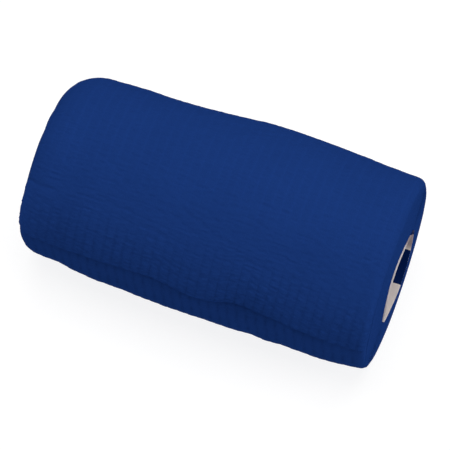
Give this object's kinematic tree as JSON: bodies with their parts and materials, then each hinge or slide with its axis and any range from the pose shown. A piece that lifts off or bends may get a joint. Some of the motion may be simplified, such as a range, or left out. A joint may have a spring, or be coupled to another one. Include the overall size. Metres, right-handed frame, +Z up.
{
  "type": "cohesive bandage roll",
  "caption": "Roll of crinkled elastic cohesive bandage wound on a short open tube, lying on its side with its cut end stuck down along it.",
  "frame": {"origin": "centre of the bounding box's underside, on the small flat spot that the roll rests on", "axes": "+X along the roll's axis towards its neat end, +Y to the side away from the strip's cut end, +Z up"},
  "size_m": [0.1016, 0.0574, 0.0565],
  "materials": {
    "crinkled_strip": "deep blue crinkled nonwoven with elastic threads along the strip, matt",
    "core_tube": "off-white smooth tube with a plain navy printed block inside"
  },
  "bodies": {
    "root": {"bandage_roll": "crinkled_strip", "core_tube": "core_tube"}
  },
  "joints": []
}
